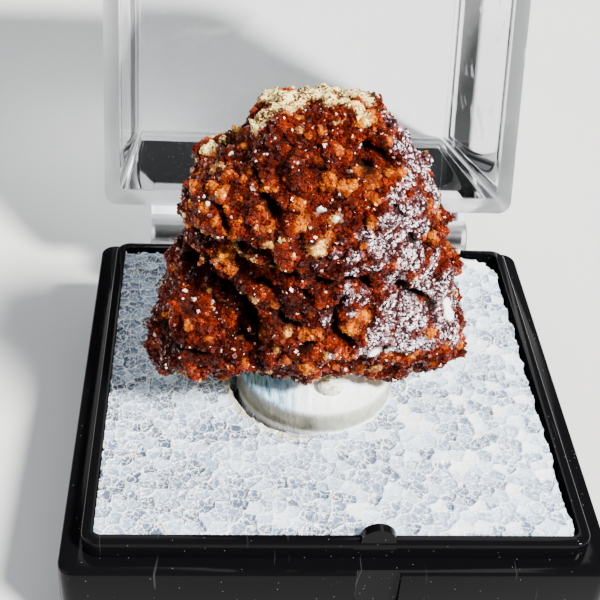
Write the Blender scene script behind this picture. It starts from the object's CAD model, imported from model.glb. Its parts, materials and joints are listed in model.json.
# The looks of a jarosite specimen on putty and foam in its open display box.
# Metres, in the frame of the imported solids. Sizes with _MM are in millimetres.
import json
import math

import bmesh
import bpy
import numpy as np
from mathutils import Matrix, Vector, noise
from mathutils.bvhtree import BVHTree


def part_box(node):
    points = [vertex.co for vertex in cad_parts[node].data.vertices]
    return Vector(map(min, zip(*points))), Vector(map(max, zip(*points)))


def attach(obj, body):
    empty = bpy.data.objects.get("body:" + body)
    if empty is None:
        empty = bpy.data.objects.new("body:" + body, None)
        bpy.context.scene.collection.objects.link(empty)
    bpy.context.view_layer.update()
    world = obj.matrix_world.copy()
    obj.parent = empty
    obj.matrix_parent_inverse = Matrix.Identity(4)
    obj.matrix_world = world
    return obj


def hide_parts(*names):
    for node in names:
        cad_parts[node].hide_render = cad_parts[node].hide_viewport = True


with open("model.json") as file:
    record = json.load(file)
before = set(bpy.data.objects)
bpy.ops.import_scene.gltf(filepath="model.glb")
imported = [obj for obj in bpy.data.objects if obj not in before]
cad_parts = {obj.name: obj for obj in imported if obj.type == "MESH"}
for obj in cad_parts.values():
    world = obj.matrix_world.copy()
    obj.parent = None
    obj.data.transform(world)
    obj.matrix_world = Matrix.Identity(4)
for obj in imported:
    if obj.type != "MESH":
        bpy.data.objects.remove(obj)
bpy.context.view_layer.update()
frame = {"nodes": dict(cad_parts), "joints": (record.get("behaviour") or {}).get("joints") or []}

MM = 0.001
SEED = 11

# The camera that took the photograph, found from the box's edges
PHOTO_SIZE = 600
CAMERA_PLACE_MM = (-7.595, -59.934, 59.751)
CAMERA_YAW, CAMERA_PITCH, CAMERA_ROLL = 5.33, 37.411, 4.3
CAMERA_FOCUS_PIXELS = 1194.78
SENSOR_MM = 36.0
CAMERA_CLIP = 1 * MM

# Box, as the solids have it
HINGE = frame["joints"][0]
PIVOT = Vector(HINGE["pos_m"])
OPEN_ANGLE = math.radians(HINGE["range_deg"][1])
BOX_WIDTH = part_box("box_base")[1][0] * 2
LEDGE_Z = PIVOT.z
LIP_TOP = LEDGE_Z + 1.2 * MM
LIP_WIDTH, LIP_WALL, LIP_ROOT = 29.5 * MM, 0.65 * MM, 1.0 * MM
FLOOR_THICKNESS = 1.2 * MM
CORNER, EDGE = 1.0 * MM, 0.18 * MM
LATCH_X, LATCH_RADIUS, LATCH_BACKSET, LATCH_DROP = 2.2 * MM, 1.05 * MM, 0.08 * MM, 0.05 * MM
THUMB_WIDTH, THUMB_HEIGHT, THUMB_DEPTH = 2.6 * MM, 3.2 * MM, 0.35 * MM
EAR_NEAR, EAR_FAR, EAR_RADIUS, EAR_REACH_UP = 9.2 * MM, 12.4 * MM, 1.35 * MM, 4.2 * MM
LUG_NEAR, LUG_FAR, LUG_RADIUS, LUG_REACH_DOWN = 6.6 * MM, 8.95 * MM, 1.3 * MM, 4.0 * MM
PIN_RADIUS, PIN_HOLE_RADIUS, PIN_END, PIN_ROOT = 0.56 * MM, 0.65 * MM, 12.1 * MM, 0.5 * MM
ROUND_SIDES, PIN_SIDES = 48, 32
LID_HEIGHT, LID_WALL, LID_RIM_GAP = 26.4 * MM, 1.15 * MM, 0.1 * MM
LID_INNER_CORNER, RIM_EDGE = 0.4 * MM, 0.12 * MM
CRISP_DEGREES = 32

# Webs of the hinge: (y, z) corners from the pivot, with the box's back wall at WALL_Y
WALL_Y = BOX_WIDTH / 2 - PIVOT.y
LUG_WEB = (
    (WALL_Y - 0.5 * MM, -0.45 * MM), (0.0, -0.45 * MM), (0.95 * MM, -0.85 * MM),
    (WALL_Y + 0.3 * MM, -LUG_REACH_DOWN), (WALL_Y - 0.5 * MM, -LUG_REACH_DOWN),
)
EAR_WEB = (
    (WALL_Y - 0.6 * MM, 0.4 * MM), (-1.2 * MM, 0.4 * MM), (0.0, -0.9 * MM), (1.3 * MM, 0.1 * MM),
    (1.1 * MM, 0.8 * MM), (WALL_Y + 0.35 * MM, EAR_REACH_UP), (WALL_Y - 0.6 * MM, EAR_REACH_UP),
)

# Frosting of the lid: how deep it goes at the edges, and from where to where up the rim
FROST_DEPTH = 0.75 * MM
RIM_FROST, RIM_CLEAR = 0.35 * MM, 0.6 * MM

# Foam: a square of cut cells, worn at its right and back sides and round at one corner
FOAM_STEP = 0.102 * MM
FOAM_HALF = LIP_WIDTH / 2 - LIP_WALL
FOAM_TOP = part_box("foam_insert")[1][2]
FOAM_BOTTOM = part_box("foam_insert")[0][2]
FOAM_CLEARANCE, FOAM_WORN_RIGHT, FOAM_WORN_BACK = 0.06 * MM, 0.35 * MM, 0.5 * MM
RAGGED_SIZE, RAGGED_MM = 0.9 * MM, 0.22
FOAM_CORNER, FOAM_PULL = 2.3 * MM, 0.97
FOAM_CELL, FOAM_CUP, FOAM_BEND = 0.85 * MM, 0.17 * MM, 0.15 * MM
SEAM_FLAT, SEAM_END = 0.02 * MM, 0.15 * MM
FOAM_RISE, STAIN_RISE = 0.1 * MM, 0.12 * MM
FOAM_CRISP_DEGREES = 50

# The gap and the stain round the putty, on the side that GAP_ANGLE points to
GAP_ANGLE = math.radians(218)
GAP_AWAY, GAP_WIDTH, GAP_DEPTH = 0.2 * MM, 0.2 * MM, 0.9 * MM
STAIN_AWAY, STAIN_WIDTH = 0.62 * MM, 0.26 * MM

# Putty, with a nub pressed up under the stone
PUTTY_LOW, PUTTY_HIGH = (Vector(corner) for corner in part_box("putty"))
PUTTY_CENTRE = (PUTTY_LOW + PUTTY_HIGH) / 2
PUTTY_RADIUS = (PUTTY_HIGH.x - PUTTY_LOW.x) / 2
PUTTY_RIM = FOAM_TOP + 1.5 * MM
PUTTY_RINGS, PUTTY_TURNS = 60, 180
PUTTY_SINK, PUTTY_OVERLAP = 0.35 * MM, 0.05 * MM
FOOT_LOW, FOOT_HIGH, FOOT_SWELL = 0.08 * MM, 0.2 * MM, 0.08 * MM
NUB_PIXEL, NUB_RADIUS, NUB_HEIGHT = (331, 386), 0.7 * MM, 0.85 * MM
NUB_STRETCH = (1.15, 0.9, 0.85)
NUB_ROUGHNESS = ((0.16 * MM, 0.035), (0.5 * MM, 0.12))

# Rock
ROCK_VOXEL, ROCK_SMOOTHINGS = 0.15 * MM, 5
MERGE_DISTANCE = 0.001 * MM
ROCK_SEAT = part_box("specimen")[0][2]
SEAT_MARGIN = 0.02 * MM
PIXELS_PER_MM = 17.0
LUMP_SIZE, GRAIN_SIZE, GRIT_SIZE, POCKET_SIZE = 1.0 * MM, 0.42 * MM, 0.24 * MM, 1.5 * MM
GRAIN_SHIFT = 7 * MM

# How far the crust's parts stand out or go in, in millimetres
LUMP_RISE_MM, DRUSE_LUMP_RISE_MM, GRAIN_RISE_MM, GRIT_RISE_MM = 0.16, 0.28, 0.09, 0.05
RAISED_RISE_MM, WHITE_RISE_MM, CAP_RISE_MM = 0.1, 0.08, 0.28
VALLEY_DEPTH_MM, POCKET_DEPTH_MM = 0.12, 0.32

# Crystals: how many to a square metre, and their sizes
RED_DENSITY, RED_SMALLEST, RED_LARGEST = 3.3e7, 0.05 * MM, 0.16 * MM
AMBER_DENSITY, AMBER_SMALLEST, AMBER_LARGEST = 2.7e7, 0.1 * MM, 0.24 * MM
SILVER_DENSITY, SILVER_SMALLEST, SILVER_LARGEST = 1.3e8, 0.06 * MM, 0.14 * MM
CRYSTAL_STRETCH = 1.25

# Finishes, as linear colours; tones are (place, colour) stops from dark to bright
MOULDING_BLACK, PALE_DUST = (0.0022, 0.0022, 0.0026, 1), (0.55, 0.55, 0.53, 1)
CLEAR_TINT = (0.96, 0.98, 1.0, 1)
FILM_TONES = (
    (0.0, (0.06, 0.09, 0.14)), (0.3, (0.13, 0.19, 0.28)), (0.6, (0.27, 0.38, 0.52)),
    (0.85, (0.58, 0.74, 0.89)), (1.0, (1.0, 1.0, 1.0)),
)
FILM_WHITE, WALL_WHITE, FOAM_GRIT = (0.93, 0.98, 1, 1), (1, 1, 1, 1), (0.12, 0.11, 0.12, 1)
STAIN_TAN, GAP_SHADOW = (0.62, 0.52, 0.28, 1), (0.02, 0.016, 0.012, 1)
PUTTY_WHITE_TONES = ((0.3, (0.78, 0.84, 0.86)), (0.5, (0.95, 0.97, 0.97)), (0.8, (1.0, 1.0, 0.99)))
PUTTY_BLUE_TONES = (
    (0.36, (0.02, 0.06, 0.14)), (0.45, (0.2, 0.46, 0.7)), (0.56, (0.5, 0.78, 0.95)),
    (0.75, (0.86, 0.96, 1.0)),
)
PUTTY_SHADED_TONES = (
    (0.3, (0.06, 0.058, 0.045)), (0.5, (0.14, 0.135, 0.105)), (0.7, (0.22, 0.21, 0.17)),
)
PUTTY_GREY_TONES = ((0.3, (0.26, 0.28, 0.22)), (0.7, (0.46, 0.49, 0.4)))
PUTTY_FOOT, PUTTY_PIT = (0.92, 0.95, 0.96, 1), (0.3, 0.27, 0.2, 1)
NUB_TONES = (
    (0.28, (0.1, 0.08, 0.05)), (0.4, (0.42, 0.4, 0.3)), (0.52, (0.72, 0.72, 0.6)),
    (0.68, (0.92, 0.91, 0.8)),
)
RED_TONES = (
    (0.0, (0.018, 0.0012, 0.0004)), (0.25, (0.07, 0.005, 0.0006)), (0.45, (0.125, 0.007, 0.0008)),
    (0.62, (0.26, 0.023, 0.0012)), (0.78, (0.48, 0.08, 0.0015)), (0.92, (0.8, 0.36, 0.03)),
    (1.0, (1.0, 0.88, 0.8)),
)
RED_DEPTH = (0.8, 0.74, 0.74, 1)
ZONE_TONES = (
    ("silver", ((0.0, (0.02, 0.005, 0.006)), (0.3, (0.07, 0.02, 0.022)), (0.46, (0.2, 0.12, 0.14)),
                (0.66, (0.42, 0.36, 0.42)), (0.86, (0.8, 0.78, 0.83)), (1.0, (1, 1, 1)))),
    ("cream", ((0.34, (0.03, 0.01, 0.005)), (0.46, (0.34, 0.19, 0.05)),
               (0.56, (0.78, 0.56, 0.16)), (0.76, (1.0, 0.88, 0.36)))),
    ("orange", ((0.05, (0.08, 0.008, 0.0)), (0.3, (0.28, 0.045, 0.0)),
                (0.62, (0.46, 0.108, 0.0)), (1.0, (0.76, 0.28, 0.0)))),
    ("tan", ((0.1, (0.12, 0.03, 0.006)), (0.38, (0.46, 0.19, 0.035)),
             (0.62, (0.84, 0.47, 0.12)), (0.95, (1.0, 0.82, 0.38)))),
)
WARM_GLOSS = (1.0, 0.5, 0.42, 1.0)
SUGAR_WHITE, CRACK_BLACK = (1, 0.99, 0.97, 1), (0.002, 0.001, 0.0008, 1)
FLOOR_GREY, FLOOR_PALE = (0.62, 0.62, 0.61, 1), (0.68, 0.68, 0.67, 1)

# Studio, in metres: the floor's half width, the point that the lights face, and the sky
FLOOR_REACH = 20.0
LIGHT_AIM = (0, 0, 0.015)
SKY_COLOUR, SKY_STRENGTH = (0.85, 0.88, 0.92, 1), 0.26

# Hairline scratches: how they are drawn out, and the turns that they lie at
SCRATCH_STRETCH = (1.0, 0.05, 0.08)
SCRATCH_TURNS = ((0.2, 0.1, 0.5), (1.1, 0.4, 2.1), (0.4, 1.3, 1.2), (0.9, 0.7, 2.9))

# Cracks and pockets of the rock: pixels of the photograph along them, a half width and a
# depth in millimetres
CRACKS = (
    (((176, 226), (200, 234), (216, 241), (236, 249), (256, 256)), 0.30, 2.4),
    (((266, 256), (272, 268), (284, 276), (296, 281)), 0.30, 2.0),
    (((190, 252), (203, 272), (219, 287), (239, 306), (256, 332)), 0.6, 2.8),
    (((160, 328), (170, 342)), 0.3, 1.0),
    (((206, 262), (214, 284), (228, 304)), 0.26, 1.8),
    (((219, 208), (228, 232)), 0.22, 1.3),
    (((255, 172), (261, 184)), 0.17, 0.8),
    (((266, 200), (279, 221)), 0.30, 1.0),
    (((283, 141), (294, 149)), 0.14, 0.6),
    (((366, 148), (377, 152), (383, 158)), 0.28, 1.1),
    (((363, 165), (372, 170)), 0.18, 0.7),
    (((366, 214), (365, 226)), 0.15, 0.7),
    (((400, 284), (411, 295), (424, 300)), 0.22, 1.2),
    (((428, 304), (434, 312)), 0.32, 0.9),
    (((336, 318), (336, 336), (350, 346)), 0.26, 1.2),
    (((318, 282), (334, 286), (350, 281), (368, 286)), 0.26, 0.9),
    (((282, 322), (296, 328)), 0.26, 1.0),
    (((318, 314), (332, 314)), 0.22, 0.8),
    (((300, 352), (312, 346)), 0.22, 0.8),
    (((345, 300), (338, 310), (332, 326)), 0.2, 0.8),
    (((262, 285), (276, 292)), 0.24, 0.9),
    (((236, 262), (246, 268)), 0.2, 0.8),
    (((300, 292), (310, 300)), 0.2, 0.8),
    (((395, 208), (402, 216)), 0.16, 0.5),
    (((410, 236), (416, 246)), 0.16, 0.5),
    (((184, 186), (188, 200)), 0.14, 0.6),
    (((160, 330), (176, 350), (206, 356)), 0.26, 0.9),
)

# Places where the outline is drawn in: a pixel, a radius in pixels, and a shift in X and Z
PINCHES = (
    ((166, 285), 34, 0.6, 0.0), ((154, 312), 24, 0.8, 0.0), ((215, 370), 40, 0.0, 0.55),
    ((412, 366), 36, 0.0, 0.65), ((452, 268), 46, -0.75, 0.0), ((440, 222), 30, -0.3, 0.0),
    ((455, 310), 30, -0.35, 0.0), ((182, 225), 24, 0.2, 0.0),
)

# Parts of the crust that are darker than the rest: a pixel and a radius in pixels
DEEP_RED_ZONE = (
    ((176, 352), 30), ((215, 350), 26), ((250, 345), 24), ((190, 300), 16), ((285, 310), 24),
    ((320, 300), 22), ((300, 275), 16), ((240, 285), 16), ((345, 270), 16), ((265, 150), 16),
    ((310, 165), 16), ((240, 195), 14), ((345, 135), 14), ((205, 235), 12), ((285, 375), 20),
)

# Zones of the rock: a pixel of the photograph at the middle, and a radius in pixels;
# ZONES has how ragged each one's edge is
SILVER_ZONE = (
    ((398, 122), 7), ((402, 146), 12), ((420, 158), 12), ((408, 176), 12), ((428, 182), 11),
    ((398, 198), 13), ((420, 206), 14), ((390, 222), 12), ((412, 232), 15), ((384, 248), 17),
    ((412, 256), 17), ((434, 262), 15), ((372, 266), 9), ((396, 276), 16), ((424, 282), 17),
    ((442, 288), 12), ((396, 306), 16), ((414, 318), 18), ((440, 314), 14), ((380, 336), 13),
    ((402, 342), 14), ((426, 344), 12), ((368, 352), 11), ((386, 322), 11), ((444, 334), 9),
    ((347, 301), 9), ((326, 322), 7), ((342, 241), 4), ((336, 256), 5), ((318, 266), 4),
    ((192, 280), 4), ((361, 150), 3), ((348, 262), 5), ((394, 114), 12), ((410, 142), 17),
    ((404, 126), 12), ((414, 164), 17),
    ((428, 168), 15), ((436, 198), 15), ((404, 216), 12), ((426, 224), 11), ((448, 278), 15),
    ((450, 298), 17), ((450, 322), 14), ((454, 336), 11), ((366, 238), 9),
    ((356, 256), 8), ((352, 276), 8), ((364, 298), 9), ((356, 316), 7), ((348, 292), 6),
    ((436, 296), 12), ((408, 298), 12),
)
CREAM_ZONE = (
    ((270, 97), 13), ((284, 98), 15), ((298, 97), 13), ((312, 95), 12), ((326, 94), 12),
    ((340, 95), 12), ((354, 97), 12), ((368, 100), 9), ((280, 108), 12),
    ((266, 118), 10), ((252, 128), 8), ((330, 100), 8), ((344, 104), 7), ((186, 178), 4),
    ((180, 196), 4), ((182, 214), 4), ((190, 166), 4), ((212, 146), 5), ((224, 140), 5),
    ((240, 130), 6), ((356, 110), 8), ((366, 120), 8), ((205, 150), 5), ((196, 160), 4),
)
ORANGE_LUMPS = (
    ((301, 119), 4), ((339, 149), 5), ((308, 135), 3), ((389, 141), 5), ((358, 172), 7),
    ((329, 182), 8), ((347, 186), 8), ((373, 182), 10), ((391, 172), 5), ((402, 172), 6),
    ((376, 200), 4), ((371, 224), 5), ((299, 205), 7), ((300, 223), 9), ((223, 190), 8),
    ((193, 185), 4), ((190, 205), 4), ((259, 208), 4), ((269, 230), 4), ((438, 214), 7),
    ((436, 240), 8), ((447, 246), 8), ((429, 204), 3), ((233, 262), 13), ((235, 270), 6),
    ((170, 316), 8), ((187, 326), 6), ((275, 307), 5), ((307, 336), 6), ((319, 332), 5),
    ((288, 362), 6), ((307, 369), 7), ((338, 368), 6), ((363, 318), 8), ((352, 331), 10),
    ((363, 245), 4), ((370, 263), 4), ((431, 334), 5), ((446, 345), 5), ((459, 345), 5),
    ((413, 354), 6), ((361, 368), 5), ((368, 112), 6), ((362, 124), 5), ((374, 120), 4),
    ((250, 170), 5), ((226, 208), 4), ((198, 222), 4), ((276, 190), 3), ((322, 130), 4),
    ((428, 363), 4), ((300, 270), 5), ((311, 314), 4),
    ((262, 158), 4), ((245, 146), 3), ((318, 160), 4), ((285, 180), 4), ((240, 220), 4),
    ((262, 340), 4), ((246, 362), 5), ((210, 340), 4), ((330, 236), 4), ((200, 172), 5),
    ((212, 186), 6), ((204, 206), 6), ((190, 224), 6), ((214, 222), 5), ((237, 198), 4),
    ((243, 178), 4), ((228, 172), 4), ((208, 240), 5), ((232, 236), 5), ((226, 256), 8),
)
TAN_CHUNKS = (
    ((316, 247), 11), ((217, 169), 7), ((218, 197), 4), ((238, 132), 6), ((268, 246), 6),
    ((267, 257), 4), ((252, 250), 4), ((288, 334), 5), ((276, 350), 4), ((255, 303), 4),
    ((284, 271), 3), ((456, 358), 7), ((376, 369), 7), ((327, 356), 4), ((336, 219), 5),
    ((242, 338), 3), ((452, 292), 4), ((355, 108), 7), ((208, 293), 3), ((300, 130), 3),
)
WHITE_SPOTS = (
    ((448, 313), 8), ((446, 304), 6), ((374, 352), 6), ((392, 350), 3), ((337, 218), 3),
    ((213, 302), 2), ((320, 210), 2), ((231, 153), 2), ((208, 204), 2), ((331, 356), 2),
)
ZONES = (
    ("silver", SILVER_ZONE, 1.0), ("orange", ORANGE_LUMPS, 1.8), ("tan", TAN_CHUNKS, 0.6),
    ("white", WHITE_SPOTS, 0.8), ("cap", CREAM_ZONE, 0.5), ("deep red", DEEP_RED_ZONE, 1.0),
)

# How much lighter or darker a zone is than the rest
ZONE_SHADES = (
    ("cap", 0.24), ("orange", 0.05), ("deep red", -0.26), ("silver", -0.09), ("behind", -0.06),
)


def new_material(name, **constants):
    """A material, its node tree and its Principled shader, with constants on its sockets."""
    material = bpy.data.materials.new(name)
    material.use_nodes = True
    shader = material.node_tree.nodes["Principled BSDF"]
    for socket, value in constants.items():
        shader.inputs[socket.replace("_", " ")].default_value = value
    return material, material.node_tree, shader


def add(tree, kind, **settings):
    """A node of a kind, with its settings."""
    node = tree.nodes.new(kind)
    for name, value in settings.items():
        setattr(node, name, value)
    return node


def feed(tree, socket, value):
    """Links an output to an input, or sets the input's own value."""
    if isinstance(value, bpy.types.NodeSocket):
        tree.links.new(value, socket)
    else:
        socket.default_value = value


def calculate(tree, operation, first, second=0.0, clamp=False):
    """The output of a Math node."""
    node = add(tree, "ShaderNodeMath", operation=operation, use_clamp=clamp)
    feed(tree, node.inputs[0], first)
    feed(tree, node.inputs[1], second)
    return node.outputs[0]


def blend_colours(tree, share, first, second, mode="MIX"):
    """The colour output of a Mix node."""
    node = add(tree, "ShaderNodeMix", data_type="RGBA", blend_type=mode)
    feed(tree, node.inputs["Factor"], share)
    feed(tree, node.inputs["A"], first)
    feed(tree, node.inputs["B"], second)
    return node.outputs["Result"]


def ramp(tree, value, *stops):
    """A colour ramp of (place, colour) stops."""
    node = add(tree, "ShaderNodeValToRGB")
    elements = node.color_ramp.elements
    while len(elements) < len(stops):
        elements.new(0.5)
    for element, (place, colour) in zip(elements, stops):
        element.position = place
        element.color = (*colour, 1.0)
    feed(tree, node.inputs["Fac"], value)
    return node.outputs["Color"]


def object_place(tree, scale=(1, 1, 1), turn=(0, 0, 0)):
    """The piece's own coordinates, stretched or turned."""
    mapping = add(tree, "ShaderNodeMapping")
    feed(tree, mapping.inputs["Vector"], add(tree, "ShaderNodeTexCoord").outputs["Object"])
    feed(tree, mapping.inputs["Rotation"], turn)
    feed(tree, mapping.inputs["Scale"], scale)
    return mapping.outputs["Vector"]


def noise_on(tree, scale, detail=3.0, roughness=0.55, place=None, output="Fac"):
    """Noise with features of about 1 / scale metres, on the piece's coordinates or a place."""
    node = add(tree, "ShaderNodeTexNoise")
    feed(tree, node.inputs["Vector"], object_place(tree) if place is None else place)
    feed(tree, node.inputs["Scale"], scale)
    feed(tree, node.inputs["Detail"], detail)
    feed(tree, node.inputs["Roughness"], roughness)
    return node.outputs[output]


def cells_on(tree, scale, place, feature="F1"):
    """The distance from the middle of a cell, or from its edge."""
    node = add(tree, "ShaderNodeTexVoronoi", feature=feature)
    feed(tree, node.inputs["Vector"], place)
    feed(tree, node.inputs["Scale"], scale)
    return node.outputs["Distance"]


def between(tree, value, low, high, first=0.0, second=1.0):
    """A smooth change from first to second as a value goes from low to high."""
    node = add(tree, "ShaderNodeMapRange", interpolation_type="SMOOTHSTEP")
    for socket, number in (("Value", value), ("From Min", low), ("From Max", high),
                           ("To Min", first), ("To Max", second)):
        feed(tree, node.inputs[socket], number)
    return node.outputs["Result"]


def attribute(tree, name):
    """A value stored on the piece's points, for a material."""
    return add(tree, "ShaderNodeAttribute", attribute_name=name).outputs["Fac"]


def strongest(tree, *marks):
    """The largest of several masks, each times a strength."""
    most = 0.0
    for mask, strength in marks:
        most = calculate(tree, "MAXIMUM", most, calculate(tree, "MULTIPLY", mask, strength))
    return most


def bump(tree, shader, height, distance, strength=1.0):
    """Small relief from a height, in metres."""
    node = add(tree, "ShaderNodeBump")
    feed(tree, node.inputs["Height"], height)
    feed(tree, node.inputs["Distance"], distance)
    feed(tree, node.inputs["Strength"], strength)
    feed(tree, shader.inputs["Normal"], node.outputs["Normal"])


def new_group(name, inputs, outputs):
    """A shader node group, its inputs' node and its outputs' node."""
    group = bpy.data.node_groups.new(name, "ShaderNodeTree")
    for label, default in inputs:
        socket = group.interface.new_socket(label, in_out="INPUT", socket_type="NodeSocketFloat")
        socket.default_value = default
    for label, kind in outputs:
        group.interface.new_socket(label, in_out="OUTPUT", socket_type=f"NodeSocket{kind}")
    return group, group.nodes.new("NodeGroupInput"), group.nodes.new("NodeGroupOutput")


def use_group(tree, group, **values):
    """A group placed in a material, with its own values."""
    node = add(tree, "ShaderNodeGroup", node_tree=group)
    for label, value in values.items():
        feed(tree, node.inputs[label.replace("_", " ")], value)
    return node.outputs


def handled_group():
    """Handling marks of moulded plastic: hairline scratches, smudges and specks of dust."""
    group, given, result = new_group(
        "handling marks",
        (("Scratch Scale", 240.0), ("Scratch Width", 0.002), ("Dust Scale", 2200.0)),
        (("Scratches", "Float"), ("Smudges", "Float"), ("Dust", "Float")),
    )
    scratches = 0.0
    for turn in SCRATCH_TURNS:
        streak = noise_on(group, given.outputs["Scratch Scale"], detail=0.0,
                          place=object_place(group, SCRATCH_STRETCH, turn))
        off_line = calculate(group, "ABSOLUTE", calculate(group, "SUBTRACT", streak, 0.5))
        hair = calculate(group, "LESS_THAN", off_line, given.outputs["Scratch Width"])
        broken = noise_on(group, scale=260.0, detail=1.0, place=object_place(group, turn=turn))
        kept = calculate(group, "MULTIPLY", hair, between(group, broken, 0.58, 0.66))
        scratches = calculate(group, "MAXIMUM", scratches, kept)
    feed(group, result.inputs["Scratches"], scratches)
    cloud = noise_on(group, scale=110.0, detail=4.0)
    feed(group, result.inputs["Smudges"], between(group, cloud, 0.45, 0.75))
    specks = cells_on(group, given.outputs["Dust Scale"], object_place(group))
    feed(group, result.inputs["Dust"], calculate(group, "LESS_THAN", specks, 0.055))
    return group


def black_plastic(marks):
    """Glossy black moulding with dust and hairline scratches."""
    material, tree, shader = new_material("black moulding", IOR=1.5, Specular_IOR_Level=0.06)
    seen = use_group(tree, marks)
    worn = strongest(tree, (seen["Scratches"], 0.03), (seen["Dust"], 0.25))
    feed(tree, shader.inputs["Base Color"], blend_colours(tree, worn, MOULDING_BLACK, PALE_DUST))
    rough = calculate(tree, "ADD", calculate(tree, "MULTIPLY", seen["Smudges"], 0.1), 0.07)
    feed(tree, shader.inputs["Roughness"], calculate(tree, "MAXIMUM", rough, worn))
    bump(tree, shader, seen["Scratches"], distance=0.005 * MM, strength=0.2)
    return material


def clear_plastic(marks):
    """Clear moulding: refracting walls, frosted at their edges, with scratches and dust."""
    material, tree, shader = new_material(
        "clear moulding", IOR=1.56, Transmission_Weight=1.0, Base_Color=CLEAR_TINT
    )
    closed = add(tree, "ShaderNodeSeparateXYZ")
    feed(tree, closed.inputs["Vector"], object_place(tree, turn=(OPEN_ANGLE, 0, 0)))
    pivot = Matrix.Rotation(OPEN_ANGLE, 3, "X") @ PIVOT
    centred = calculate(tree, "SUBTRACT", closed.outputs["Y"], pivot.y - PIVOT.y)
    height = calculate(tree, "SUBTRACT", closed.outputs["Z"], pivot.z)
    frost_side, frost_top = BOX_WIDTH / 2 - FROST_DEPTH, LID_HEIGHT - FROST_DEPTH
    edges = between(tree, height, frost_top, frost_top + EDGE)
    for flat in (closed.outputs["X"], centred):
        away = calculate(tree, "ABSOLUTE", flat)
        edges = calculate(tree, "ADD", edges, between(tree, away, frost_side, frost_side + EDGE))
    milky = between(tree, edges, 1.2, 1.9)
    rim = between(tree, height, RIM_FROST, RIM_CLEAR, 1.0, 0.0)
    seen = use_group(tree, marks, Scratch_Scale=300.0, Scratch_Width=0.003, Dust_Scale=1500.0)
    rough = strongest(tree, (milky, 0.4), (rim, 0.34), (seen["Smudges"], 0.06),
                      (seen["Scratches"], 0.25), (seen["Dust"], 0.6))
    feed(tree, shader.inputs["Roughness"], rough)
    bump(tree, shader, seen["Scratches"], distance=0.003 * MM, strength=0.1)
    return material


def foam_threads(tree):
    """Fine bent threads across the cut cells, as a mask."""
    wobble = noise_on(tree, scale=2400.0, detail=2.0, roughness=0.5, output="Color")
    bent = add(tree, "ShaderNodeVectorMath", operation="MULTIPLY_ADD")
    feed(tree, bent.inputs[0], wobble)
    feed(tree, bent.inputs[1], (0.6 * MM, 0.6 * MM, 0.6 * MM))
    feed(tree, bent.inputs[2], object_place(tree))
    away = cells_on(tree, 1900.0, bent.outputs["Vector"], feature="DISTANCE_TO_EDGE")
    return between(tree, away, 0.015, 0.06, 0.8, 0.0)


def foam_material():
    """Cellular polystyrene: crisp white cell walls round blue-grey films of many shades."""
    material, tree, shader = new_material(
        "cellular foam", IOR=1.45, Subsurface_Weight=0.25, Subsurface_Scale=0.4 * MM,
        Subsurface_Radius=(0.8, 1.0, 1.2)
    )
    wall = between(tree, attribute(tree, "seam"), 0.02, 0.06, 1.0, 0.0)
    inner = ramp(tree, attribute(tree, "cell"), *FILM_TONES)
    film = noise_on(tree, scale=4600.0, roughness=0.7)
    crinkled = blend_colours(tree, between(tree, film, 0.52, 0.68, 0.0, 0.6), inner, FILM_WHITE)
    white = calculate(tree, "MAXIMUM", wall, foam_threads(tree))
    grit = noise_on(tree, scale=900.0, detail=5.0, roughness=0.8)
    stain = calculate(tree, "MULTIPLY", attribute(tree, "stain"), between(tree, film, 0.3, 0.6))
    colour = crinkled
    for mask, over in ((white, WALL_WHITE), (between(tree, grit, 0.72, 0.76, 0.0, 0.7), FOAM_GRIT),
                       (stain, STAIN_TAN), (attribute(tree, "gap"), GAP_SHADOW)):
        colour = blend_colours(tree, mask, colour, over)
    feed(tree, shader.inputs["Base Color"], colour)
    feed(tree, shader.inputs["Roughness"], between(tree, wall, 0.0, 1.0, 0.22, 0.5))
    bump(tree, shader, film, distance=0.1 * MM, strength=0.4)
    return material


def putty_material():
    """Pale putty: a streaked white top, a grey side with specks and a bright lower rim."""
    material, tree, shader = new_material(
        "mounting putty", Subsurface_Weight=0.1, Subsurface_Scale=0.6 * MM, IOR=1.45, Roughness=0.5
    )
    pressed = noise_on(tree, scale=1500.0, detail=4.0, roughness=0.65,
                       place=object_place(tree, (3.2, 0.5, 1.0)))
    to_left = attribute(tree, "left")
    top = blend_colours(tree, between(tree, to_left, 0.35, 0.9),
                        ramp(tree, pressed, *PUTTY_WHITE_TONES), ramp(tree, pressed, *PUTTY_BLUE_TONES))
    soft = noise_on(tree, scale=900.0, detail=4.0)
    band = blend_colours(tree, between(tree, to_left, 0.0, 0.45),
                         ramp(tree, soft, *PUTTY_GREY_TONES), ramp(tree, soft, *PUTTY_SHADED_TONES))
    worn = between(tree, to_left, 0.1, 0.7, 1.0, 0.3)
    foot = calculate(tree, "MULTIPLY", attribute(tree, "foot"), worn)
    pits = between(tree, noise_on(tree, scale=5200.0, detail=2.0), 0.68, 0.73, 0.0, 0.7)
    colour = top
    for mask, over in ((attribute(tree, "side"), band), (foot, PUTTY_FOOT), (pits, PUTTY_PIT)):
        colour = blend_colours(tree, mask, colour, over)
    feed(tree, shader.inputs["Base Color"], colour)
    bump(tree, shader, pressed, distance=0.15 * MM, strength=0.6)
    return material


def nub_material():
    """The nub: cream putty with grit pressed into it."""
    material, tree, shader = new_material(
        "gritty putty", Subsurface_Weight=0.15, Subsurface_Scale=0.5 * MM, IOR=1.45
    )
    grit = noise_on(tree, scale=4200.0, detail=4.0, roughness=0.7)
    feed(tree, shader.inputs["Base Color"], ramp(tree, grit, *NUB_TONES))
    feed(tree, shader.inputs["Roughness"], between(tree, grit, 0.3, 0.7, 0.7, 0.35))
    bump(tree, shader, grit, distance=0.2 * MM, strength=0.7)
    return material


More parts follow.
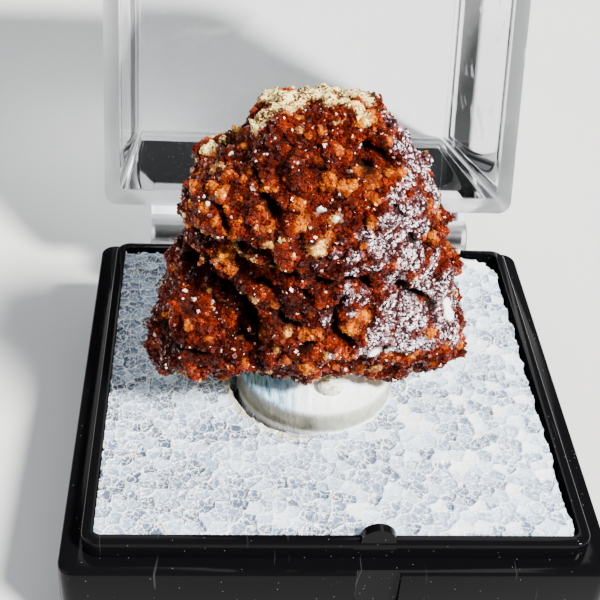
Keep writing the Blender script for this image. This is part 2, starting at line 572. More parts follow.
def jarosite_tones():
    """The stone's colours in each of its zones, from a tint between dark and bright."""
    group, given, result = new_group(
        "jarosite tones", (("Tint", 0.5),), (("Colour", "Color"),)
    )
    tint = given.outputs["Tint"]
    red = ramp(group, tint, *RED_TONES)
    colour = blend_colours(group, 1.0, red, RED_DEPTH, "MULTIPLY")
    for zone, tones in ZONE_TONES:
        colour = blend_colours(group, attribute(group, zone), colour, ramp(group, tint, *tones))
    colour = blend_colours(group, attribute(group, "white"), colour, SUGAR_WHITE)
    shadow = calculate(group, "MULTIPLY", attribute(group, "dark"), 0.97)
    feed(group, result.inputs["Colour"], blend_colours(group, shadow, colour, CRACK_BLACK))
    return group


def toned(tree, shader, tones, mottle, shade):
    """The stone's colour on a shader, from a stored shade and some mottle."""
    tint = calculate(tree, "ADD", mottle, attribute(tree, shade))
    feed(tree, shader.inputs["Base Color"], use_group(tree, tones, Tint=tint)["Colour"])


def ground_material(tones):
    """The stone under the crystals: red-brown crust, granular matrix and dark cracks."""
    material, tree, shader = new_material(
        "jarosite ground", IOR=1.5, Specular_Tint=WARM_GLOSS, Specular_IOR_Level=0.18)
    grain = noise_on(tree, scale=6200.0, roughness=0.7)
    toned(tree, shader, tones, between(tree, grain, 0.3, 0.7, -0.4, 0.4), "shade")
    rough = between(tree, grain, 0.35, 0.65, 0.6, 0.3)
    feed(tree, shader.inputs["Roughness"],
         calculate(tree, "MAXIMUM", rough, attribute(tree, "dark")))
    bump(tree, shader, grain, distance=0.16 * MM, strength=0.9)
    return material


def crystal_material(tones):
    """Jarosite crystals: dark red-brown to amber, silvery or cream by zone, and glossy."""
    material, tree, shader = new_material(
        "jarosite crystals", IOR=1.6, Specular_Tint=WARM_GLOSS, Specular_IOR_Level=0.24)
    flaws = noise_on(tree, scale=12000.0, detail=2.0)
    toned(tree, shader, tones, between(tree, flaws, 0.35, 0.65, -0.07, 0.07), "tint")
    feed(tree, shader.inputs["Roughness"], between(tree, flaws, 0.4, 0.7, 0.14, 0.34))
    return material


def pale_floor_material():
    """A plain pale surface."""
    material, tree, shader = new_material("pale floor", Roughness=0.6)
    shade = noise_on(tree, scale=3.0, detail=2.0)
    feed(tree, shader.inputs["Base Color"], blend_colours(tree, shade, FLOOR_GREY, FLOOR_PALE))
    return material


def object_from(name, mesh, material=None):
    """An object for a mesh, linked to the scene."""
    obj = bpy.data.objects.new(name, mesh)
    bpy.context.scene.collection.objects.link(obj)
    if material:
        mesh.materials.clear()
        mesh.materials.append(material)
    return obj


def object_from_bmesh(name, bm, material=None):
    """An object for a bmesh, which is freed."""
    bmesh.ops.recalc_face_normals(bm, faces=bm.faces)
    mesh = bpy.data.meshes.new(name)
    bm.to_mesh(mesh)
    bm.free()
    return object_from(name, mesh, material)


def bake(obj):
    """Applies an object's modifiers and its place to its mesh."""
    bpy.context.view_layer.update()
    graph = bpy.context.evaluated_depsgraph_get()
    mesh = bpy.data.meshes.new_from_object(obj.evaluated_get(graph))
    obj.modifiers.clear()
    mesh.transform(obj.matrix_world)
    obj.data = mesh
    obj.matrix_world = Matrix.Identity(4)
    return obj


def smooth_by_angle(obj, degrees):
    """Smooth shading, with edges sharper than the angle kept."""
    obj.data.shade_smooth()
    obj.data.set_sharp_from_angle(angle=math.radians(degrees))


def combine(obj, name, shape, operation="UNION", place=(0, 0, 0), turn=0.0):
    """Joins a shape to an object, or cuts it out."""
    other = object_from_bmesh(name, shape)
    other.location = place
    other.rotation_euler.z = turn
    modifier = obj.modifiers.new("combine", "BOOLEAN")
    modifier.operation = operation
    modifier.solver = "EXACT"
    modifier.object = other
    bake(obj)
    bpy.data.objects.remove(other, do_unlink=True)


def finished(obj, body, slot_name, *nodes):
    """A piece that rides on a body, in place of CAD nodes."""
    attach(obj, body)
    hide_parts(*nodes)


def smoothstep(value, low, high):
    """0 below low, 1 above high, smooth between."""
    share = np.clip((value - low) / (high - low), 0.0, 1.0)
    return share * share * (3 - 2 * share)


def store(mesh, name, values):
    """Keeps one value for each point of a mesh."""
    layer = mesh.attributes.new(name, "FLOAT", "POINT")
    layer.data.foreach_set("value", np.asarray(values, dtype=np.float32))


def points_of(mesh):
    """The points and point normals of a mesh as arrays."""
    count = len(mesh.vertices)
    places, normals = np.empty(count * 3), np.empty(count * 3)
    mesh.vertices.foreach_get("co", places)
    mesh.vertices.foreach_get("normal", normals)
    return places.reshape(-1, 3), normals.reshape(-1, 3)


def move_points(mesh, places):
    """Writes new points to a mesh."""
    mesh.vertices.foreach_set("co", places.ravel())
    mesh.update()


def noise_at(places, size, offset=0.0):
    """Smooth noise between about -1 and 1 at each point."""
    return np.array([noise.noise(Vector(p) / size + Vector((offset, 0, 0))) for p in places])


def cells_at(places, size):
    """The distances to the nearest and second cell centres, and a number for the cell."""
    nearest, second, number = (np.empty(len(places)) for _ in range(3))
    for index, place in enumerate(places):
        distances, centres = noise.voronoi(Vector(place) / size)
        nearest[index], second[index] = distances[0], distances[1]
        number[index] = noise.cell(centres[0] * 37.0)
    return nearest, second, number


def rounded_block(size, centre, corner, edge=0.0, segments=6, faces="both"):
    """A block with rounded upright edges and, where asked, softened top or bottom edges."""
    bm = bmesh.new()
    bmesh.ops.create_cube(bm, size=1.0)
    bmesh.ops.scale(bm, vec=size, verts=bm.verts)
    bmesh.ops.translate(bm, vec=centre, verts=bm.verts)
    upright = [e for e in bm.edges if abs(e.verts[0].co.z - e.verts[1].co.z) > size[2] / 2]
    bmesh.ops.bevel(bm, geom=upright, offset=corner, segments=segments, affect="EDGES", profile=0.5)
    if edge:
        bm.normal_update()
        ends = [f for f in bm.faces if abs(f.normal.z) > 0.9]
        if faces == "top":
            ends = [f for f in ends if f.normal.z > 0]
        rims = {e for f in ends for e in f.edges}
        bmesh.ops.bevel(bm, geom=list(rims), offset=edge, segments=3, affect="EDGES", profile=0.5)
    return bm


def rod(radius, start_x, end_x, sides=ROUND_SIDES):
    """A cylinder along X, through the local origin."""
    bm = bmesh.new()
    place = Matrix.Translation(((start_x + end_x) / 2, 0, 0)) @ Matrix.Rotation(math.pi / 2, 4, "Y")
    bmesh.ops.create_cone(
        bm, cap_ends=True, segments=sides, radius1=radius, radius2=radius,
        depth=abs(end_x - start_x), matrix=place,
    )
    return bm


def extruded_profile(profile, start_x, end_x):
    """A flat profile of (y, z) points, extruded along X."""
    bm = bmesh.new()
    face = bm.faces.new([bm.verts.new((start_x, y, z)) for y, z in profile])
    moved = bmesh.ops.extrude_face_region(bm, geom=[face])
    verts = [v for v in moved["geom"] if isinstance(v, bmesh.types.BMVert)]
    bmesh.ops.translate(bm, vec=(end_x - start_x, 0, 0), verts=verts)
    return bm


def crisp_moulding(obj, material, body, slot_name, node):
    """Gives a moulding its one material and crisp edges, on its body."""
    obj.data.materials.clear()
    obj.data.materials.append(material)
    smooth_by_angle(obj, CRISP_DEGREES)
    finished(obj, body, slot_name, node)


def make_base(material):
    """The black moulding: step, lip, latch tongue, thumb notch, lugs and pins."""
    base = object_from_bmesh("base_moulding", rounded_block(
        (BOX_WIDTH, BOX_WIDTH, LEDGE_Z), (0, 0, LEDGE_Z / 2), CORNER, EDGE))
    lip_low = LEDGE_Z - LIP_ROOT
    combine(base, "lip", rounded_block(
        (LIP_WIDTH, LIP_WIDTH, LIP_TOP - lip_low), (0, 0, (LIP_TOP + lip_low) / 2),
        CORNER, EDGE, faces="top"))
    combine(base, "tongue", rod(LATCH_RADIUS, 0, LIP_WALL - LATCH_BACKSET), turn=math.pi / 2,
            place=(LATCH_X, -LIP_WIDTH / 2 + LATCH_BACKSET, LIP_TOP - LATCH_DROP))
    for side in (-1, 1):
        for shape in (
            rod(LUG_RADIUS, side * LUG_NEAR, side * LUG_FAR),
            extruded_profile(LUG_WEB, side * LUG_NEAR, side * LUG_FAR),
            rod(PIN_RADIUS, side * (LUG_FAR - PIN_ROOT), side * PIN_END, PIN_SIDES),
        ):
            combine(base, "lug", shape, place=PIVOT)
    well = LIP_WIDTH - 2 * LIP_WALL
    combine(base, "well", rounded_block(
        (well, well, LIP_TOP), (0, 0, FLOOR_THICKNESS + LIP_TOP / 2), CORNER / 2), "DIFFERENCE")
    combine(base, "notch", rounded_block(
        (THUMB_WIDTH, 2 * THUMB_DEPTH, 2 * THUMB_HEIGHT),
        (LATCH_X, -BOX_WIDTH / 2, LEDGE_Z), THUMB_DEPTH / 2), "DIFFERENCE")
    crisp_moulding(base, material, "base", "black_plastic", "box_base")


def make_lid(material):
    """The clear lid, made closed about its hinge axis and turned open."""
    height = LID_HEIGHT - LID_RIM_GAP
    lid = object_from_bmesh("lid_moulding", rounded_block(
        (BOX_WIDTH, BOX_WIDTH, height), (0, -PIVOT.y, LID_RIM_GAP + height / 2), CORNER, CORNER,
        segments=8, faces="top"))
    inside = BOX_WIDTH - 2 * LID_WALL
    deep = LID_HEIGHT - LID_WALL + CORNER
    combine(lid, "hollow", rounded_block(
        (inside, inside, deep), (0, -PIVOT.y, deep / 2 - CORNER), LID_INNER_CORNER, EDGE,
        faces="top"), "DIFFERENCE")
    rim = lid.modifiers.new("soft rim", "BEVEL")
    rim.width = RIM_EDGE
    rim.segments = 2
    rim.limit_method = "ANGLE"
    rim.angle_limit = math.radians(60)
    bake(lid)
    for side in (-1, 1):
        combine(lid, "ear", rod(EAR_RADIUS, side * EAR_NEAR, side * EAR_FAR))
        combine(lid, "ear web", extruded_profile(EAR_WEB, side * EAR_NEAR, side * EAR_FAR))
        combine(lid, "bore", rod(
            PIN_HOLE_RADIUS, side * (EAR_NEAR - 1 * MM), side * (EAR_FAR + 1 * MM)), "DIFFERENCE")
    lid.data.transform(Matrix.Translation(PIVOT) @ Matrix.Rotation(-OPEN_ANGLE, 4, "X"))
    crisp_moulding(lid, material, "lid", "clear_plastic", "lid")


def foam_outline(x, y):
    """Pulls a point of the foam into its worn outline, with one round corner."""
    half = FOAM_HALF - FOAM_CLEARANCE
    ragged = noise.noise(Vector((x, y, 0)) / RAGGED_SIZE) * RAGGED_MM * MM
    low = Vector((-half, -half))
    high = Vector((half - FOAM_WORN_RIGHT + ragged, half - FOAM_WORN_BACK + 0.6 * ragged))
    x += (min(max(x, low.x), high.x) - x) * FOAM_PULL
    y += (min(max(y, low.y), high.y) - y) * FOAM_PULL
    centre = Vector((high.x - FOAM_CORNER, high.y - FOAM_CORNER))
    away = Vector((x, y)) - centre
    if away.x > 0 and away.y > 0 and away.length > FOAM_CORNER:
        x, y = centre + away * (1 + (FOAM_CORNER / away.length - 1) * FOAM_PULL)
    return x, y


def foam_cells_at(x, y):
    """The distance to the nearest cell wall, in metres, and a number for each point's cell."""
    rng = np.random.default_rng(SEED)
    count = int(BOX_WIDTH / FOAM_CELL) + 8
    jitter = rng.uniform(0.05, 0.95, (count, count, 2))
    shades = rng.uniform(0.0, 1.0, (count, count))
    points = np.stack((x, y), 1) / FOAM_CELL + count / 2
    column, row = np.floor(points).astype(int).T
    near = [(i, j) for i in range(-2, 3) for j in range(-2, 3)]
    centres = np.stack([
        np.stack((column + i, row + j), 1) + jitter[column + i, row + j] for i, j in near])
    nearest = np.linalg.norm(centres - points, axis=2).argmin(0)
    own = centres[nearest, np.arange(len(points))]
    apart = centres - own
    length = np.linalg.norm(apart, axis=2)
    length[nearest, np.arange(len(points))] = 1.0
    border = (((centres + own) / 2 - points) * apart).sum(2) / length
    border[nearest, np.arange(len(points))] = np.inf
    cell = np.floor(own).astype(int)
    return border.min(0) * FOAM_CELL, shades[cell[:, 0], cell[:, 1]]


def foam_slab(material):
    """The uncut foam: a fine grid above, one face below, and its outline drawn in."""
    steps = int(2 * FOAM_HALF / FOAM_STEP)
    bm = bmesh.new()
    bmesh.ops.create_grid(bm, x_segments=steps, y_segments=steps, size=FOAM_HALF,
                          matrix=Matrix.Translation((0, 0, FOAM_TOP)))
    moved = bmesh.ops.extrude_face_region(bm, geom=bm.faces[:])
    for vert in moved["geom"]:
        if isinstance(vert, bmesh.types.BMVert):
            vert.co.z = FOAM_BOTTOM
    rim = FOAM_HALF - FOAM_STEP / 2
    inner = [e for e in bm.edges if not e.is_boundary and all(v.co.z == FOAM_BOTTOM for v in e.verts)
             and all(max(abs(v.co.x), abs(v.co.y)) < rim for v in e.verts)]
    bmesh.ops.dissolve_edges(bm, edges=inner, use_verts=True)
    foam = object_from_bmesh("foam_cells", bm, material)
    places, _ = points_of(foam.data)
    for place in places:
        place[0], place[1] = foam_outline(place[0], place[1])
    return foam, places


def torn_by_putty(places, flat):
    """The gap and the stain in the foam beside the putty, as masks."""
    shift = places[:, :2] - np.array(PUTTY_CENTRE)[:2]
    away = np.linalg.norm(shift, axis=1) - PUTTY_RADIUS
    facing = (shift @ (math.cos(GAP_ANGLE), math.sin(GAP_ANGLE))) / (away + PUTTY_RADIUS)
    torn = smoothstep(facing + 0.1 * noise_at(flat, 0.5 * MM), 0.55, 0.85)
    gap = torn * np.exp(-((away - GAP_AWAY) / GAP_WIDTH) ** 2)
    stain = torn * np.exp(-((away - STAIN_AWAY) / STAIN_WIDTH) ** 2)
    return gap, stain


def make_foam(material):
    """The foam insert: cut cells open as small cups between thin walls."""
    foam, places = foam_slab(material)
    top = places[:, 2] > (FOAM_TOP + FOAM_BOTTOM) / 2
    flat = places * (1, 1, 0)
    bend = FOAM_BEND * noise_at(flat, 0.45 * MM)
    seam, cell = foam_cells_at(flat[:, 0] + bend, flat[:, 1] - bend)
    across = places[:, 0] / FOAM_HALF
    cell = 0.75 * cell + 0.14 + 0.2 * across + 0.2 * noise_at(flat, 3 * MM, offset=9.0)
    cell = np.clip(cell, 0, 1)
    cup = FOAM_CUP * smoothstep(seam, SEAM_FLAT, SEAM_END) * (1.1 - 0.7 * cell)
    gap, stain = torn_by_putty(places, flat)
    swell = noise_at(flat, 5 * MM) * 0.12 * MM + noise_at(flat, 1.4 * MM) * 0.06 * MM
    relief = FOAM_RISE + swell - cup - gap * GAP_DEPTH + stain * STAIN_RISE
    places[:, 2] += np.where(top, relief, 0)
    move_points(foam.data, places)
    for name, values in (("seam", seam / MM), ("cell", cell), ("gap", gap), ("stain", stain)):
        store(foam.data, name, values)
    smooth_by_angle(foam, FOAM_CRISP_DEGREES)
    finished(foam, "base", "foam", "foam_insert")


def putty_profile():
    """(radius, height) points from the middle of the pad's top out to its foot."""
    contact = ROCK_SEAT + PUTTY_OVERLAP
    top_share, side_share, shoulder = 0.7, 0.3, 0.95
    profile = []
    for ring in range(PUTTY_RINGS):
        share = ring / (PUTTY_RINGS - 1)
        if share < top_share:
            radius = share / top_share * shoulder
            height = contact + (PUTTY_RIM - contact) * smoothstep(radius, 0.35, 1.02)
        else:
            turn = (share - top_share) / side_share
            radius = shoulder + 0.05 * math.sin(min(turn * 2, 1) * math.pi / 2) - 0.02 * turn
            height = PUTTY_RIM - (PUTTY_RIM - FOAM_TOP + PUTTY_SINK) * turn ** 1.2
        profile.append((radius * PUTTY_RADIUS, height))
    return profile


def turned_solid(profile, turns):
    """A closed solid of (radius, height) points turned about Z."""
    bm = bmesh.new()
    top = bm.verts.new((0, 0, profile[0][1]))
    angles = [math.tau * k / turns for k in range(turns)]
    loops = [
        [bm.verts.new((radius * math.cos(a), radius * math.sin(a), height)) for a in angles]
        for radius, height in profile[1:]
    ]
    for k in range(turns):
        bm.faces.new((top, loops[0][k], loops[0][(k + 1) % turns]))
    for upper, lower in zip(loops, loops[1:]):
        for k in range(turns):
            bm.faces.new((upper[k], lower[k], lower[(k + 1) % turns], upper[(k + 1) % turns]))
    bm.faces.new(loops[-1])
    return bm


def make_putty(material):
    """The pressed pad: a grey side, a streaked top that rises to the stone, and a bright foot."""
    bm = turned_solid(putty_profile(), PUTTY_TURNS)
    putty = object_from_bmesh("putty_pad", bm, material)
    places, normals = points_of(putty.data)
    places[:, :2] *= (1 + 0.012 * noise_at(places, 3 * MM))[:, None]
    side = smoothstep(np.hypot(places[:, 0], places[:, 1]) / PUTTY_RADIUS, 0.93, 0.985)
    press = noise_at(places * (3.0, 0.6, 1), 0.8 * MM) * 0.07 * MM * (1 - side)
    dents = noise_at(places, 1.8 * MM, offset=5.0) * 0.07 * MM + noise_at(places, 0.5 * MM) * 0.03 * MM
    foot = side * smoothstep(places[:, 2], FOAM_TOP + FOOT_HIGH, FOAM_TOP + FOOT_LOW)
    left = smoothstep(-places[:, 0] / PUTTY_RADIUS, -0.5, 0.9)
    for name, values in (("side", side), ("foot", foot), ("left", left)):
        store(putty.data, name, values)
    places += normals * (press + dents + FOOT_SWELL * foot)[:, None]
    places[:, 0] += PUTTY_CENTRE.x
    places[:, 1] += PUTTY_CENTRE.y
    move_points(putty.data, places)
    putty.data.shade_smooth()
    finished(putty, "base", "putty", "putty")


def make_nub(material):
    """The nub of gritty putty that the stone squeezed out at the front."""
    start, ray = Vector(CAMERA_PLACE_MM) * MM, photo_ray(NUB_PIXEL)
    centre = start + ray * ((PUTTY_RIM + NUB_HEIGHT - start.z) / ray.z)
    bm = bmesh.new()
    bmesh.ops.create_icosphere(bm, subdivisions=5, radius=NUB_RADIUS)
    for vert in bm.verts:
        swell = 1.0
        for size, share in NUB_ROUGHNESS:
            swell += noise.noise(vert.co / size) * share
        vert.co *= swell
        vert.co = centre + vert.co * Vector(NUB_STRETCH)
    nub = object_from_bmesh("putty_nub", bm, material)
    nub.data.shade_smooth()
    finished(nub, "base", "putty", "putty")


def camera_axes():
    """Right, up and forward of the photograph's camera."""
    yaw, pitch, roll = (math.radians(a) for a in (CAMERA_YAW, CAMERA_PITCH, CAMERA_ROLL))
    forward = Vector((math.sin(yaw) * math.cos(pitch), math.cos(yaw) * math.cos(pitch),
                      -math.sin(pitch)))
    level = Vector((math.cos(yaw), -math.sin(yaw), 0))
    upright = level.cross(forward)
    right = math.cos(roll) * level + math.sin(roll) * upright
    up = -math.sin(roll) * level + math.cos(roll) * upright
    return right, up, forward


def photo_ray(pixel):
    """The direction from the camera through a pixel of the photograph."""
    right, up, forward = camera_axes()
    across = (pixel[0] - PHOTO_SIZE / 2) / CAMERA_FOCUS_PIXELS
    down = (pixel[1] - PHOTO_SIZE / 2) / CAMERA_FOCUS_PIXELS
    return (forward + right * across - up * down).normalized()


def on_rock(tree, pixel):
    """The place on the rock that a pixel of the photograph shows."""
    start = Vector(CAMERA_PLACE_MM) * MM
    place, _, _, _ = tree.ray_cast(start, photo_ray(pixel))
    return place


def make_camera():
    """The camera, at the photograph's place and angle."""
    data = bpy.data.cameras.new("photograph camera")
    data.sensor_width = SENSOR_MM
    data.lens = CAMERA_FOCUS_PIXELS * SENSOR_MM / PHOTO_SIZE
    data.clip_start = CAMERA_CLIP
    camera = bpy.data.objects.new("photograph camera", data)
    right, up, forward = camera_axes()
    placed = Matrix((right, up, -forward)).transposed().to_4x4()
    placed.translation = Vector(CAMERA_PLACE_MM) * MM
    camera.matrix_world = placed
    bpy.context.scene.collection.objects.link(camera)
    bpy.context.scene.camera = camera


def radii_away(places, middle, radius):
    """How many radii each point is away from a middle, with the radius in pixels."""
    return np.linalg.norm(places - np.array(middle), axis=1) / (radius / PIXELS_PER_MM * MM)


def zone_mask(tree, places, zone, ragged):
    """How far each point lies inside any patch of a zone, with a ragged edge."""
    mask = np.zeros(len(places))
    for pixel, radius in zone:
        middle = on_rock(tree, pixel)
        if middle:
            away = radii_away(places, middle, radius)
            mask = np.maximum(mask, 1 - smoothstep(away + ragged, 0.8, 1.15))
    return mask


def crack_depth(tree, places, warp):
    """How deep the cracks go at each point, in metres, and how dark they are, as a mask."""
    depth, dark = np.zeros(len(places)), np.zeros(len(places))
    for pixels, half_width, deep in CRACKS:
        path = [on_rock(tree, pixel) for pixel in pixels]
        path = [np.array(p)[[0, 2]] for p in path if p]
        away = np.full(len(places), 1.0)
        for start, end in zip(path, path[1:]):
            run = end - start
            along = np.clip(((places[:, [0, 2]] - start) @ run) / (run @ run), 0, 1)
            near = start + along[:, None] * run
            away = np.minimum(away, np.linalg.norm(places[:, [0, 2]] - near, axis=1))
        away = away / (half_width * MM) + warp
        depth = np.maximum(depth, deep * MM * np.exp(-away ** 2))
        dark = np.maximum(dark, np.exp(-(away * 0.95) ** 4))
    return depth, dark


def surface_of(rock):
    """The rock's surface as it is now, for rays."""
    bpy.context.view_layer.update()
    return BVHTree.FromObject(rock, bpy.context.evaluated_depsgraph_get())


def pinched(tree, places):
    """The places with the outline drawn in, so that crust and crystals keep inside it."""
    moved = places.copy()
    for pixel, radius, shift_x, shift_z in PINCHES:
        middle = on_rock(tree, pixel)
        if middle:
            away = radii_away(places, middle, radius)
            pull = np.exp(-(away * 1.3) ** 2) * MM
            moved[:, 0] += pull * shift_x
            moved[:, 2] += pull * shift_z
    return moved


def rock_form(material):
    """The solid's form, merged, remeshed finely, and drawn in at its outline."""
    bm = bmesh.new()
    bm.from_mesh(frame["nodes"]["specimen"].data)
    bmesh.ops.remove_doubles(bm, verts=bm.verts, dist=MERGE_DISTANCE)
    rock = object_from_bmesh("specimen_rock", bm, material)
    fine = rock.modifiers.new("fine", "REMESH")
    fine.mode = "VOXEL"
    fine.voxel_size = ROCK_VOXEL
    soft = rock.modifiers.new("soft", "SMOOTH")
    soft.iterations = ROCK_SMOOTHINGS
    bake(rock)
    places, _ = points_of(rock.data)
    move_points(rock.data, pinched(surface_of(rock), places))
    return rock


def rock_zones(tree, places, normals, ragged):
    """How far each point lies inside each zone of the rock, from 0 to 1."""
    zone = {
        name: zone_mask(tree, places, patches, ragged * raggedness)
        for name, patches, raggedness in ZONES
    }
    zone["silver"] *= 1 - 0.45 * smoothstep(noise_at(places, 0.6 * MM, offset=90.0), 0.2, 0.45)
    zone["behind"] = smoothstep(normals[:, 1] + 0.3 * ragged, 0.25, 0.5)
    beneath = smoothstep(-normals[:, 2], 0.6, 0.9)
    matrix = np.maximum.reduce([zone["cap"], zone["behind"], beneath])
    zone["cream"] = matrix * (1 - zone["silver"])
    zone["raised"] = np.maximum(zone["orange"], zone["tan"])
    zone["druse"] = 1 - np.maximum.reduce([zone["cream"], zone["silver"], zone["raised"]])
    front = smoothstep(-normals[:, 1], -0.3, 0.15)
    depth, dark = crack_depth(tree, places, ragged * 0.6)
    zone["dark"] = dark * front
    return zone, depth * front


def rock_relief(places, normals, zone):
    """How far each point stands out, in millimetres, with the crust's pits and grains."""
    lump, border, _ = cells_at(places, LUMP_SIZE)
    grain, _, number = cells_at(places + GRAIN_SHIFT, GRAIN_SIZE)
    valley = (1 - smoothstep(border - lump, 0.0, 0.16)) * zone["druse"]
    pocket = smoothstep(noise_at(places, POCKET_SIZE, offset=20.0), 0.36, 0.56) * zone["druse"]
    lump_rise = DRUSE_LUMP_RISE_MM * zone["druse"] + LUMP_RISE_MM
    relief = (0.4 - lump) * lump_rise * (1 - 0.5 * zone["cap"]) + (0.4 - grain) * GRAIN_RISE_MM
    relief += (RAISED_RISE_MM * zone["raised"] + WHITE_RISE_MM * zone["white"]
               - VALLEY_DEPTH_MM * valley - POCKET_DEPTH_MM * pocket)
    upward = np.clip(normals[:, 2], 0, 1)
    relief += noise_at(places, GRIT_SIZE) * GRIT_RISE_MM + CAP_RISE_MM * zone["cap"] * upward
    pits = np.maximum.reduce([zone["dark"], 0.6 * pocket, 0.4 * valley])
    return relief, pits, number


def rock_shade(places, zone, number):
    """How light each point of the crust is, from dark at 0 to bright at 1."""
    shade = (0.44 + 0.32 * noise_at(places, 1.3 * MM, offset=40.0)
             + 0.34 * noise_at(places, 0.45 * MM, offset=60.0))
    lift = 0.2 * (number - 0.5)
    for name, share in ZONE_SHADES:
        lift = lift + share * zone[name]
    return shade + lift


def rock_mesh(material):
    """The rock, roughened and cracked, with its zones stored for the crystals and the colours."""
    rock = rock_form(material)
    places, normals = points_of(rock.data)
    ragged = noise_at(places, 0.7 * MM) * 0.4 + noise_at(places, 0.25 * MM) * 0.2
    zone, depth = rock_zones(surface_of(rock), places, normals, ragged)
    relief, zone["dark"], number = rock_relief(places, normals, zone)
    places = places + normals * (relief * MM)[:, None]
    places[:, 1] += depth
    places[places[:, 2] < ROCK_SEAT + SEAT_MARGIN, 2] = ROCK_SEAT
    move_points(rock.data, places)
    zone["shade"] = rock_shade(places, zone, number)
    bare = np.clip(1 - 0.97 * zone["cream"] - 1.6 * zone["dark"], 0, 1)
    zone["cover"] = bare * (1 - 0.6 * zone["orange"]) * (1 - 0.95 * zone["tan"])
    zone["silver"] = zone["silver"] * (1 - zone["raised"])
    for name in ("silver", "cream", "orange", "tan", "white", "dark", "shade", "cover"):
        store(rock.data, name, zone[name])
    rock.data.shade_smooth()
    return rock


def named(tree, name):
    """The value that a surface's points keep under a name, for geometry nodes."""
    node = add(tree, "GeometryNodeInputNamedAttribute", data_type="FLOAT")
    node.inputs["Name"].default_value = name
    return node.outputs["Attribute"]


def random_value(tree, kind, seed, low, high):
    """A random number or vector for each point."""
    node = add(tree, "FunctionNodeRandomValue", data_type=kind)
    vector = kind == "FLOAT_VECTOR"
    feed(tree, node.inputs[0 if vector else 2], low)
    feed(tree, node.inputs[1 if vector else 3], high)
    feed(tree, node.inputs["Seed"], seed)
    return node.outputs[0 if vector else 1]


def crystal_points(tree, given):
    """Points on the surface that stay off bare ground, each with its own tint."""
    zone = calculate(tree, "SUBTRACT", named(tree, "silver"), given["Silver"])
    wanted = calculate(tree, "SUBTRACT", 1.0, calculate(tree, "ABSOLUTE", zone), clamp=True)
    share = calculate(tree, "MULTIPLY", named(tree, "cover"), wanted)
    scatter = add(tree, "GeometryNodeDistributePointsOnFaces")
    feed(tree, scatter.inputs["Mesh"], given["Geometry"])
    feed(tree, scatter.inputs["Density"], calculate(tree, "MULTIPLY", given["Density"], share))
    feed(tree, scatter.inputs["Seed"], given["Seed"])
    change = random_value(tree, "FLOAT", 3, -0.5, 0.5)
    spread = calculate(tree, "MULTIPLY", change, given["Spread"])
    tint = calculate(tree, "ADD", named(tree, "shade"), spread, clamp=True)
    chance = random_value(tree, "FLOAT", 4, 0.0, 1.0)
    speck = calculate(tree, "LESS_THAN", chance, given["Specks"])
    kept = add(tree, "GeometryNodeStoreNamedAttribute", data_type="FLOAT", domain="POINT")
    feed(tree, kept.inputs["Geometry"], scatter.outputs["Points"])
    feed(tree, kept.inputs["Name"], "tint")
    feed(tree, kept.inputs["Value"], calculate(tree, "MAXIMUM", tint, speck))
    return kept.outputs["Geometry"]


def rhombohedron(tree):
    """One crystal: a cube stood on its point and drawn out."""
    cube = add(tree, "GeometryNodeMeshCube")
    on_point = add(tree, "GeometryNodeTransform")
    feed(tree, on_point.inputs["Geometry"], cube.outputs["Mesh"])
    feed(tree, on_point.inputs["Rotation"], (math.pi / 4, math.atan(1 / math.sqrt(2)), 0))
    stretched = add(tree, "GeometryNodeTransform")
    feed(tree, stretched.inputs["Geometry"], on_point.outputs["Geometry"])
    feed(tree, stretched.inputs["Scale"], (1, 1, CRYSTAL_STRETCH))
    return stretched.outputs["Geometry"]


def crystal_size(tree, given):
    """A size between the smallest and the largest, mostly small."""
    mostly_small = calculate(tree, "POWER", random_value(tree, "FLOAT", 1, 0.0, 1.0), 2.5)
    size = add(tree, "ShaderNodeMapRange")
    feed(tree, size.inputs["Value"], mostly_small)
    feed(tree, size.inputs["To Min"], given["Smallest"])
    feed(tree, size.inputs["To Max"], given["Largest"])
    return size.outputs["Result"]


def druse_tree(material):
    """Geometry nodes that grow rhombohedra on a surface, most of them small."""
    tree = bpy.data.node_groups.new("druse", "GeometryNodeTree")
    tree.interface.new_socket("Geometry", in_out="INPUT", socket_type="NodeSocketGeometry")
    for label in ("Density", "Smallest", "Largest", "Silver", "Spread", "Specks"):
        tree.interface.new_socket(label, in_out="INPUT", socket_type="NodeSocketFloat")
    tree.interface.new_socket("Seed", in_out="INPUT", socket_type="NodeSocketInt")
    tree.interface.new_socket("Geometry", in_out="OUTPUT", socket_type="NodeSocketGeometry")
    given, result = tree.nodes.new("NodeGroupInput").outputs, tree.nodes.new("NodeGroupOutput")
    placed = add(tree, "GeometryNodeInstanceOnPoints")
    feed(tree, placed.inputs["Points"], crystal_points(tree, given))
    feed(tree, placed.inputs["Instance"], rhombohedron(tree))
    feed(tree, placed.inputs["Rotation"],
         random_value(tree, "FLOAT_VECTOR", 2, (0, 0, 0), (math.tau, math.tau, math.tau)))
    feed(tree, placed.inputs["Scale"], crystal_size(tree, given))
    real = add(tree, "GeometryNodeRealizeInstances")
    feed(tree, real.inputs["Geometry"], placed.outputs["Instances"])
    paint = add(tree, "GeometryNodeSetMaterial")
    feed(tree, paint.inputs["Geometry"], real.outputs["Geometry"])
    feed(tree, paint.inputs["Material"], material)
    feed(tree, result.inputs["Geometry"], paint.outputs["Geometry"])
    return tree


def grow_crystals(name, rock, tree, **values):
    """A crust of crystals grown on the rock, with the tree's inputs set."""
    crust = object_from(name, rock.data.copy())
    grow = crust.modifiers.new("druse", "NODES")
    grow.node_group = tree
    for item in tree.interface.items_tree:
        if item.in_out == "INPUT" and item.name in values:
            grow[item.identifier] = values[item.name]
    bake(crust)
    crust.data.shade_flat()
    finished(crust, "base", "jarosite", "specimen")


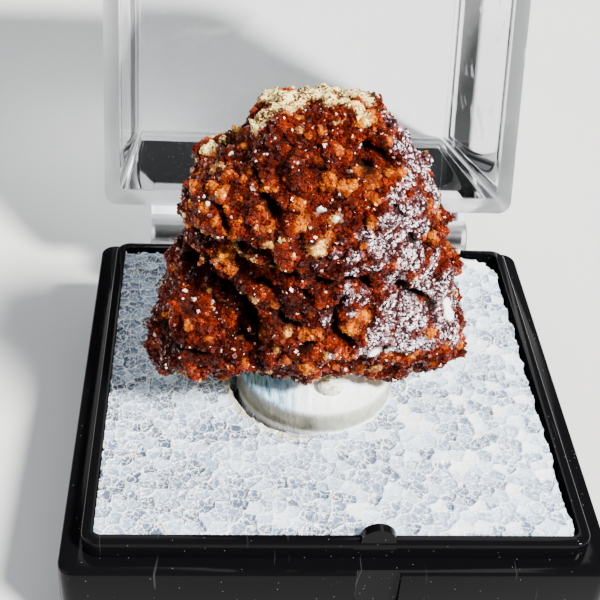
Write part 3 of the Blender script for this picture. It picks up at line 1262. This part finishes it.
def make_specimen(tones):
    """The rock and the crusts of crystals grown on it."""
    rock = rock_mesh(ground_material(tones))
    tree = druse_tree(crystal_material(tones))
    grow_crystals("specimen_red_crystals", rock, tree, Density=RED_DENSITY, Silver=0.0,
                  Smallest=RED_SMALLEST, Largest=RED_LARGEST, Spread=0.32, Specks=0.045, Seed=SEED)
    grow_crystals("specimen_amber_crystals", rock, tree, Density=AMBER_DENSITY, Silver=0.0,
                  Smallest=AMBER_SMALLEST, Largest=AMBER_LARGEST, Spread=0.2, Specks=0.006,
                  Seed=SEED + 20)
    grow_crystals("specimen_silver_crystals", rock, tree, Density=SILVER_DENSITY, Silver=1.0,
                  Smallest=SILVER_SMALLEST, Largest=SILVER_LARGEST, Spread=1.5, Specks=0.07,
                  Seed=SEED + 10)
    finished(rock, "base", "jarosite", "specimen")


def make_floor(material):
    """The pale surface that the box stands on."""
    bm = bmesh.new()
    bmesh.ops.create_grid(bm, x_segments=1, y_segments=1, size=FLOOR_REACH)
    floor = object_from_bmesh("floor", bm, material)


def studio_light(name, place, size, power, colour, kind="AREA"):
    """A light that faces the specimen: a square one, or a distant one with an angle as its size."""
    data = bpy.data.lights.new(name, kind)
    if kind == "SUN":
        data.angle = size
    else:
        data.size = size
    data.energy = power
    data.color = colour
    light = bpy.data.objects.new(name, data)
    light.location = place
    aim = Vector(LIGHT_AIM) - Vector(place)
    light.rotation_euler = aim.to_track_quat("-Z", "Y").to_euler()
    bpy.context.scene.collection.objects.link(light)


def make_lights():
    """Soft studio light, the key from the front right as in the photograph."""
    studio_light("key", place=(0.20, -0.17, 0.27), size=math.radians(11), power=16.0,
                 colour=(1.0, 0.98, 0.95), kind="SUN")
    studio_light("fill", place=(-0.28, -0.10, 0.22), size=0.25, power=0.75,
                 colour=(0.86, 0.93, 1.0))
    studio_light("back", place=(0.05, 0.30, 0.30), size=0.25, power=0.9, colour=(1.0, 1.0, 1.0))
    world = bpy.data.worlds.new("studio")
    bpy.context.scene.world = world
    world.use_nodes = True
    background = world.node_tree.nodes["Background"]
    background.inputs["Color"].default_value = SKY_COLOUR
    background.inputs["Strength"].default_value = SKY_STRENGTH


make_camera()
make_lights()
make_floor(pale_floor_material())
marks_of_handling = handled_group()
make_base(black_plastic(marks_of_handling))
make_lid(clear_plastic(marks_of_handling))
make_foam(foam_material())
make_putty(putty_material())
make_nub(nub_material())
make_specimen(jarosite_tones())
